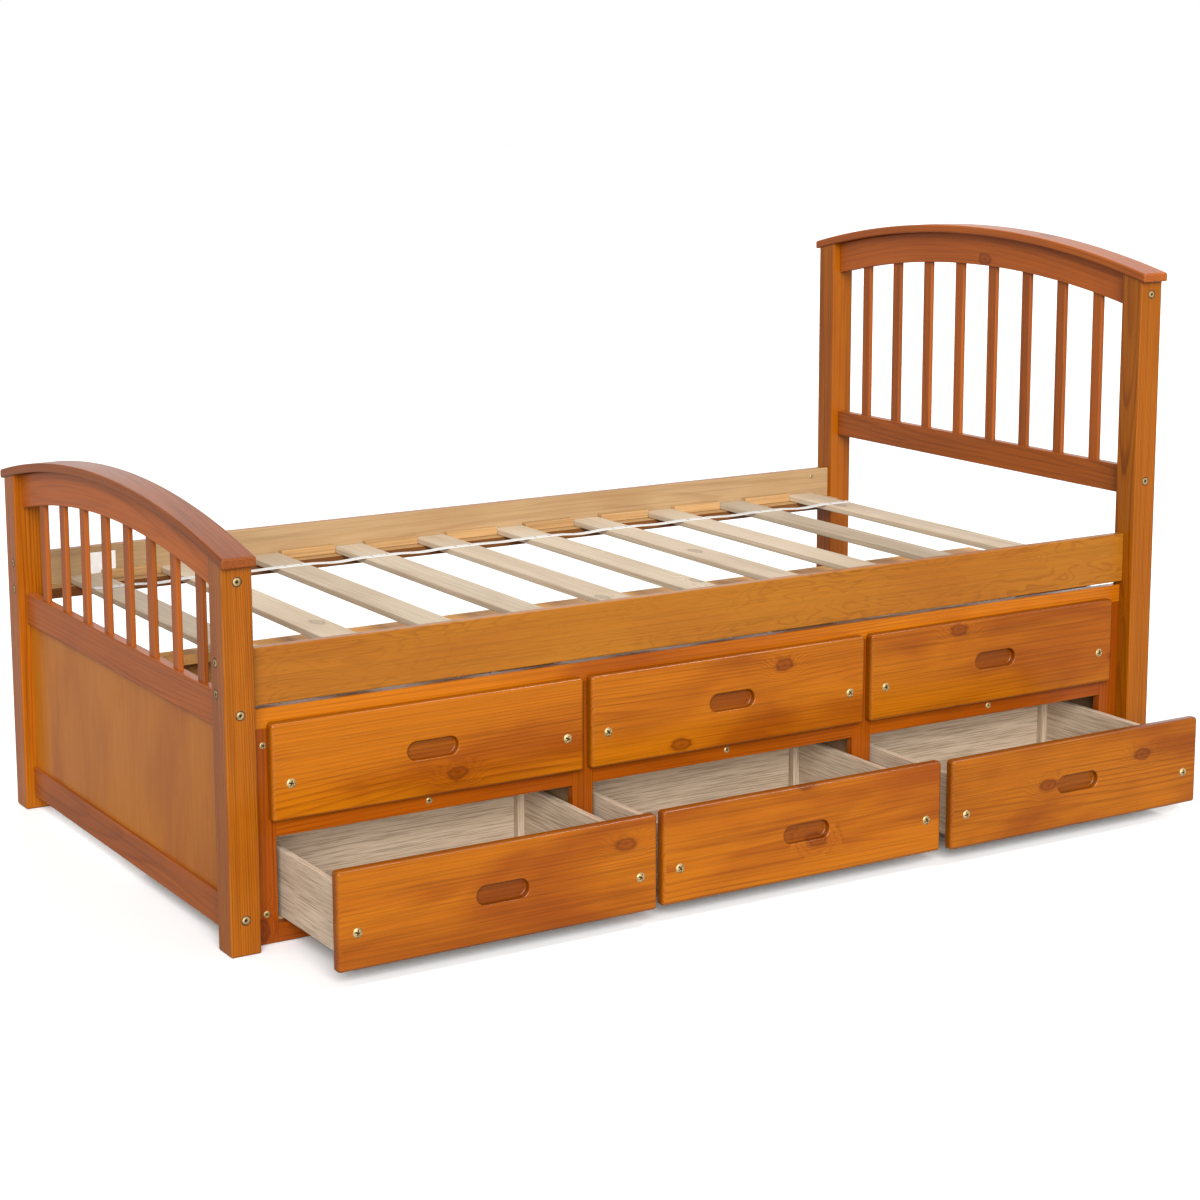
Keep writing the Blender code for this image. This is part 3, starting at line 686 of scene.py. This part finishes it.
for one_end in ENDS:
    make_end(one_end)
piece("foot_bottom_pine", [board(*box("foot_bottom_rail"), 1, RAIL_EDGE)], CAP_PINE, BED,
      ["foot_bottom_rail"])
panel_low, panel_high = box("foot_panel")
piece("foot_panel_ply", [board(panel_low, panel_high, 2, PANEL_EDGE, thin=0)], PANEL_PLY, BED,
      ["foot_panel"])

# ---------------------------------------------------------------- mattress base

slats = [box(f"slat_{number:02d}") for number in range(1, 11)]
INWARD = {"near": 1, "far": -1}


def rail_faces(side):
    """Where a side rail's outer and inner faces lie across the bed."""
    low, high = box(f"side_rail_{side}")
    outer = low[1] if side == "near" else high[1]
    return outer, outer + INWARD[side] * SIDE_RAIL_THICKNESS


for side, inward in INWARD.items():
    low, high = box(f"side_rail_{side}")
    outer, inner = rail_faces(side)
    rail_low = (low[0], min(outer, inner), low[2])
    rail_high = (high[0], max(outer, inner), high[2])
    piece(f"side_rail_{side}_ply", [board(rail_low, rail_high, 0, RAIL_EDGE, thin=1)], RAIL_PLY,
          BED, [f"side_rail_{side}"], TAN_PINE, (0, inward, 0))
    ledge_bottom = low[2] + LEDGE_ABOVE_RAIL_BOTTOM
    ledge_top = ledge_bottom + LEDGE_HEIGHT
    reach = sorted((inner + inward * GAP, inner + inward * LEDGE_WIDTH))
    ledge = board((low[0], reach[0], ledge_bottom), (high[0], reach[1], ledge_top), 0,
                  LEDGE_EDGE)
    # painted shade: dark on every face but the top, which is tan
    piece(f"slat_ledge_{side}", [ledge], LEDGE_PAINTED_SHADE, BED, (), SPACER_TAN,
          (0, 0, 1))
    blocks = []
    reach = sorted((inner + inward * GAP, inner + inward * SPACER_THICKNESS))
    for before, after in zip(slats[:-1], slats[1:]):
        start, stop = before[1][0] + SPACER_CLEARANCE, after[0][0] - SPACER_CLEARANCE
        blocks.append(board((start, reach[0], ledge_top + GAP),
                            (stop, reach[1], ledge_top + SPACER_HEIGHT), 0, SPACER_EDGE))
    piece(f"slat_spacers_{side}", blocks, SPACER_TAN, BED)

for number, (low, high) in enumerate(slats, 1):
    piece(f"slat_pine_{number:02d}", [board(low, high, 1, SLAT_EDGE)], RAW_PINE, BED,
          [f"slat_{number:02d}"])


def strap_shape(side):
    """Webbing laid over the slats: its height is the slats' top, less a sag between them.

    The sag is its depth times the squared sine of the share of the way from one slat's edge
    to the next, and the strap wanders sideways by a slow sine.
    """
    low, high = box(f"slat_strap_{side}")
    edges = np.array([[a[0], b[0]] for a, b in slats])

    def place(grid):
        x = grid[..., 0]
        number = np.clip(np.searchsorted(edges[:, 1], x.ravel()).reshape(x.shape), 0, 9)
        start = edges[np.maximum(number - 1, 0), 1]
        stop = edges[number, 0]
        share = np.clip((x - start) / np.maximum(stop - start, 1e-9), 0.0, 1.0)
        sag = STRAP_SAG + STRAP_SAG_CHANGE * np.sin(2.3 * number)
        out = grid.copy()
        out[..., 2] -= np.where(x < stop, sag * np.sin(math.pi * share) ** 2, 0.0)
        out[..., 1] += STRAP_WANDER * np.sin(5.1 * x + 1.0)
        return out

    return board(low, high, 0, 0.0005, 2, 320, place, 2)


for side in SIDES:
    strap = piece(f"slat_strap_webbing_{side}", [strap_shape(side)], STRAP, BED,
                  [f"slat_strap_{side}"])
    low, high = box(f"slat_strap_{side}")
    middle = (low[1] + high[1]) / 2
    staples = []
    for first, last in slats:
        for x in (first[0] + STAPLE_INSET, last[0] - STAPLE_INSET):
            wide, long = STAPLE_WIDTH / 2, STAPLE_LENGTH / 2
            staples.append(board((x - wide, middle - long, high[2] - 0.0002),
                                 (x + wide, middle + long, high[2] + 0.0007), 1, 0.0003, 2))
    piece(f"strap_staples_{side}", staples, BRASS, BED)

# ---------------------------------------------------------------- drawer cabinet

frame_low, frame_high = box("cabinet_face_frame")
bay_width = (frame_high[0] - frame_low[0] - 2 * OUTER_STILE - 2 * INNER_STILE) / 3
opening_height = (frame_high[2] - TOP_RAIL_HEIGHT - MID_RAIL_HEIGHT - BOTTOM_RAIL_TOP) / 2
bay_starts = [frame_low[0] + OUTER_STILE + n * (bay_width + INNER_STILE) for n in range(3)]


def frame_board(x0, x1, z0, z1, along):
    """A member of the face frame, over the frame's whole thickness."""
    return board((x0, frame_low[1], z0), (x1, frame_high[1], z1), along, FRAME_EDGE, 2, thin=1)


stiles = [(frame_low[0], bay_starts[0])]
stiles += [(start - INNER_STILE, start) for start in bay_starts[1:]]
stiles += [(bay_starts[2] + bay_width, frame_high[0])]
stile_top = frame_high[2] - TOP_RAIL_HEIGHT
members = [frame_board(x0, x1, frame_low[2], stile_top, 2) for x0, x1 in stiles]
mid_bottom = BOTTOM_RAIL_TOP + opening_height
for start in bay_starts:
    for z0, z1 in ((frame_low[2], BOTTOM_RAIL_TOP), (mid_bottom, mid_bottom + MID_RAIL_HEIGHT)):
        members.append(frame_board(start, start + bay_width, z0, z1, 0))
piece("face_frame_pine", members, FRAME_PINE, BED, ["cabinet_face_frame"])
# painted light: the top rail, shaded by the side rail above it, takes the fronts' paler finish and
# a paler tint
top_rail = frame_board(frame_low[0], frame_high[0], stile_top, frame_high[2], 0)
piece("face_frame_top_pine", [top_rail], FRONT_PINE, BED,
      tint=TOP_RAIL_PAINTED_LIGHT)

for node in ("cabinet_end_foot", "cabinet_end_head", "cabinet_divider_1",
             "cabinet_divider_2", "cabinet_back"):
    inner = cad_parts[node]
    inner.data.materials.clear()
    inner.data.materials.append(BACK_PINE_PAINTED_LIGHT if node == "cabinet_back" else CASE_PINE)


# ---------------------------------------------------------------- drawers


def front_shape(low, high):
    """A false front: one surface from the pull's floor, up its wall, over the lip and round.

    Its outlines are a slot with round ends inside and the front's own rectangle outside. The
    floor's corner, the lip and the front's edge are quarter circles.
    """
    centre = ((low[0] + high[0]) / 2, low[1], (low[2] + high[2]) / 2)
    a, b = HANDLE_LENGTH / 2, HANDLE_HEIGHT / 2
    wide, tall = (high[0] - low[0]) / 2, (high[2] - low[2]) / 2
    thick = high[1] - low[1]
    dip, lip, edge, corner = 0.003, 0.0025, 0.0070, 0.0060
    turn = np.linspace(0.0, math.pi / 2, 5)
    grow, fall = np.sin(turn), 1 - np.cos(turn)
    floor = np.stack([a - dip + dip * grow, b - dip + dip * grow, b - dip + dip * grow,
                      HANDLE_DEPTH - dip * fall], 1)
    rim = np.stack([a + lip * fall, b + lip * fall, b + lip * fall, lip * (1 - grow)], 1)
    side = np.stack([wide - edge * (1 - grow), tall - edge * (1 - grow),
                     np.maximum(corner - edge * (1 - grow), 0.001), edge * fall], 1)
    back = [[wide, tall, corner, thick - 0.001],
            [wide - 0.001, tall - 0.001, corner - 0.001, thick]]
    rings = np.concatenate([floor, rim, side, back])
    # painted shade: 1 on the pull's floor, less up its wall and over the lip, then rising round the
    # front's edge to 0.9 on its sides and back
    painted_shade = np.r_[np.ones(len(floor)), 0.8, 0.5, 0.2, 0.0, 0.0,
                   np.linspace(0.0, 0.9, len(side)), 0.9, 0.9]
    return stack(centre, rings, (1, 1), 8, painted_shade)


def box_boards(low, high):
    """A drawer box: two sides, back, inner front, bottom and two blocks in the rear corners."""
    x0, y0, z0 = low
    x1, y1, z1 = high
    w, c = BOX_WALL, CORNER_BLOCK
    floor = z0 + BOX_BOTTOM_RECESS
    floor_top = floor + BOX_BOTTOM_THICKNESS
    r = BOX_EDGE
    return [
        board((x0, y0, z0), (x0 + w, y1, z1), 1, r, 2),
        board((x1 - w, y0, z0), (x1, y1, z1), 1, r, 2),
        board((x0 + w + GAP, y1 - w, z0), (x1 - w - GAP, y1, z1), 0, r, 2),
        board((x0 + w + GAP, y0, z0), (x1 - w - GAP, y0 + w, z1), 0, r, 2),
        board((x0 + w + GAP, y0 + w + GAP, floor), (x1 - w - GAP, y1 - w - GAP, floor_top), 0,
              0.0004, 2),
        board((x0 + w + GAP, y1 - w - c, floor_top + GAP), (x0 + w + c, y1 - w - GAP, z1), 2,
              r, 2),
        board((x1 - w - c, y1 - w - c, floor_top + GAP), (x1 - w - GAP, y1 - w - GAP, z1), 2,
              r, 2),
    ]


for level in LEVELS:
    for bay in BAYS:
        label = f"{level}_{bay}"
        body = f"drawer_{label}"
        low, high = box(f"drawer_front_{label}")
        piece(f"drawer_front_pine_{label}", [front_shape(low, high)], FRONT_PINE, body,
              [f"drawer_front_{label}"], tint=FRONT_TONES_AND_PAINTED_LIGHT[level][bay - 1])
        piece(f"drawer_box_boards_{label}", box_boards(*box(f"drawer_box_{label}")), FOIL, body,
              [f"drawer_box_{label}"])
        height = low[2] + FRONT_SCREW_ABOVE_FRONT_BOTTOM
        heads = [head_of_screw((x, low[1], height), (1, 1), FRONT_SCREW, turn)
                 for x, turn in ((low[0] + FRONT_SCREW_INSET, 0.3 + bay),
                                 (high[0] - FRONT_SCREW_INSET, 1.1 * bay))]
        piece(f"drawer_front_screws_{label}", heads, BRASS, body)

# ---------------------------------------------------------------- fasteners and labels

beside_front = box("drawer_front_upper_1")[0][0] - FRAME_SCREW_BESIDE_FRONT
foot_stile_places = zip((beside_front, frame_low[0] + FRAME_SCREW_INSET), FRAME_SCREW_HEIGHTS)
on_mid_rail = mid_bottom + FRAME_SCREW_ABOVE_RAIL_BOTTOM
small = [head_of_screw((x, frame_low[1], z), (1, 1), FRAME_SCREW, 0.2 + x)
         for x, z in foot_stile_places]
small += [head_of_screw((start + bay_width / 2, frame_low[1], on_mid_rail), (1, 1),
                        FRAME_SCREW, 0.7 + start) for start in bay_starts]
small += [head_of_screw((frame_high[0] - FRAME_SCREW_INSET, frame_low[1], z), (1, 1),
                        FRAME_SCREW, z) for z in FRAME_SCREW_HEIGHTS]
piece("face_frame_screws", small, BRASS, BED)

shade_rings, bolts = [], []


def bolt(centre, facing):
    """A bolt's head in a dark ring that paints the shade of its counterbore."""
    shade_rings.append(shade_ring(centre, facing, BOLT_HOLE_RADIUS, BOLT_RING_RADIUS))
    bolts.append(head_of_screw(centre, facing, BOLT_HEAD, 0.5 + 3 * centre[2], "hex"))


for x, heights in ((FOOT_X + POST / 2, FOOT_BOLT_HEIGHTS),
                   (HEAD_X - POST / 2, HEAD_BOLT_HEIGHTS)):
    for z in heights:
        bolt((x, NEAR_Y, z), (1, 1))
        bolt((x, FAR_Y, z), (1, -1))
for x, into in ((FOOT_X, 1), (HEAD_X, -1)):
    for y in (NEAR_Y + RAIL_BOLT_INSET, FAR_Y - RAIL_BOLT_INSET):
        for z in RAIL_BOLT_HEIGHTS:
            bolt((x, y, z), (0, into))
# painted shade: a near-black ring round each bolt
piece("painted_counterbore_shades", shade_rings, COUNTERBORE_SHADE, BED)
piece("bolt_heads", bolts, BRASS, BED)

nuts = []
for side, inward in INWARD.items():
    low, high = box(f"side_rail_{side}")
    inner = rail_faces(side)[1]
    for x in (low[0] + NUT_INSET, high[0] - NUT_INSET):
        nuts.append(head_of_screw((x, inner, NUT_HEIGHT), (1, -inward), NUT_HEAD, x))
piece("side_rail_barrel_nuts", nuts, BRASS, BED)

rail_start = box("side_rail_far")[0][0]
face_y = rail_faces("far")[1]
labels = []
for start, stop, z0, z1 in LABELS:
    labels.append(board((rail_start + start, face_y - LABEL_FACE, z0),
                        (rail_start + stop, face_y - LABEL_LIFT, z1), 0, 0.0001, 1, thin=1))
piece("blank_rail_labels", labels, LABEL, BED)

# ---------------------------------------------------------------- floor, light and camera

FLOOR_SQUARES = 12
FLOOR_BOUNCE = (0.36, 0.36, 0.36)
WORLD_LIGHT = 0.52
WORLD_SHOWN = 1.0
CAMERA_PLACE = (-2.65769, -4.23737, 1.49456)
CAMERA_DEGREES = (-30.278, 10.125, -0.3935)  # azimuth, rise and roll
CAMERA_SENSOR_MM, CAMERA_LENS_MM = 36.0, 77.704
CAMERA_SHIFT = (0.05476, -0.07566)


def make_floor():
    """A pale floor: a wide square grid that is level everywhere. It throws little light back."""
    f = Finish("studio_floor")
    place = f.add("TexCoord").outputs["Object"]
    cloud = f.noise(place, (0.8, 0.8, 0.8), 3.0)
    colour = f.mix(cloud, (0.960, 0.960, 0.960), (0.975, 0.975, 0.975))
    seen = f.add("LightPath").outputs["Is Camera Ray"]
    colour = f.mix(seen, FLOOR_BOUNCE, colour)
    finish = f.finish(colour, 0.7)
    reach = np.linspace(-30.0, 30.0, FLOOR_SQUARES + 1)
    x, y = np.meshgrid(reach, reach, indexing="ij")
    points = np.stack([x, y, np.full_like(x, -0.0005)], -1).reshape(-1, 3)
    k, j = np.meshgrid(np.arange(FLOOR_SQUARES), np.arange(FLOOR_SQUARES), indexing="ij")
    first = k * (FLOOR_SQUARES + 1) + j
    beyond = first + FLOOR_SQUARES + 1
    quads = np.stack([first, beyond, beyond + 1, first + 1], -1).reshape(-1, 4)
    mesh = bpy.data.meshes.new("studio_floor")
    mesh.from_pydata(points.tolist(), [], quads.tolist())
    mesh.materials.append(finish)
    floor = bpy.data.objects.new("studio_floor", mesh)
    bpy.context.scene.collection.objects.link(floor)
    floor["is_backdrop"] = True


def make_sun(name, azimuth, rise, strength, angle):
    """A soft light from one direction. angle is how wide the shining surface looks."""
    data = bpy.data.lights.new(name, "SUN")
    data.energy, data.angle = strength, math.radians(angle)
    turn, lift = math.radians(azimuth), math.radians(rise)
    back = np.array([math.sin(turn) * math.cos(lift), -math.cos(turn) * math.cos(lift),
                     math.sin(lift)])
    right = np.cross((0.0, 0.0, 1.0), back)
    right /= np.linalg.norm(right)
    light = bpy.data.objects.new(name, data)
    axes = np.stack([right, np.cross(back, right), back], 1)
    light.matrix_world = Matrix(axes.tolist()).to_4x4()
    bpy.context.scene.collection.objects.link(light)


def make_world(around, shown):
    """White surroundings that are seen brighter than they light the room."""
    world = bpy.data.worlds.new("studio")
    world.use_nodes = True
    tree = world.node_tree
    seen = tree.nodes.new("ShaderNodeLightPath").outputs["Is Camera Ray"]
    strength = tree.nodes.new("ShaderNodeMath")
    strength.operation = "MULTIPLY_ADD"
    tree.links.new(seen, strength.inputs[0])
    strength.inputs[1].default_value = shown - around
    strength.inputs[2].default_value = around
    background = tree.nodes["Background"]
    background.inputs[0].default_value = (1.0, 1.0, 1.0, 1.0)
    tree.links.new(strength.outputs[0], background.inputs[1])
    bpy.context.scene.world = world


def make_camera():
    """The view from the foot end of the drawer side, a little above the bed."""
    azimuth, rise, roll = (math.radians(a) for a in CAMERA_DEGREES)
    back = np.array([math.sin(azimuth) * math.cos(rise), -math.cos(azimuth) * math.cos(rise),
                     math.sin(rise)])
    right = np.cross(-back, (0.0, 0.0, 1.0))
    right /= np.linalg.norm(right)
    up = np.cross(right, -back)
    turned = (right * math.cos(roll) + up * math.sin(roll),
              up * math.cos(roll) - right * math.sin(roll), back)
    data = bpy.data.cameras.new("camera")
    data.sensor_width, data.lens = CAMERA_SENSOR_MM, CAMERA_LENS_MM
    data.shift_x, data.shift_y = CAMERA_SHIFT
    data.clip_start, data.clip_end = 0.1, 200.0
    camera = bpy.data.objects.new("camera", data)
    turn = Matrix(np.stack(turned, 1).tolist()).to_4x4()
    camera.matrix_world = Matrix.Translation(CAMERA_PLACE) @ turn
    bpy.context.scene.collection.objects.link(camera)
    bpy.context.scene.camera = camera


make_floor()
make_camera()
make_world(WORLD_LIGHT, WORLD_SHOWN)
make_sun("window", azimuth=-26.0, rise=26.0, strength=5.15, angle=40.0)
make_sun("far_window", azimuth=140.0, rise=18.0, strength=0.8, angle=60.0)
make_sun("overhead_strip", azimuth=72.0, rise=57.0, strength=0.8, angle=9.0)
bpy.context.scene.view_settings.view_transform = "Standard"

low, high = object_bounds()
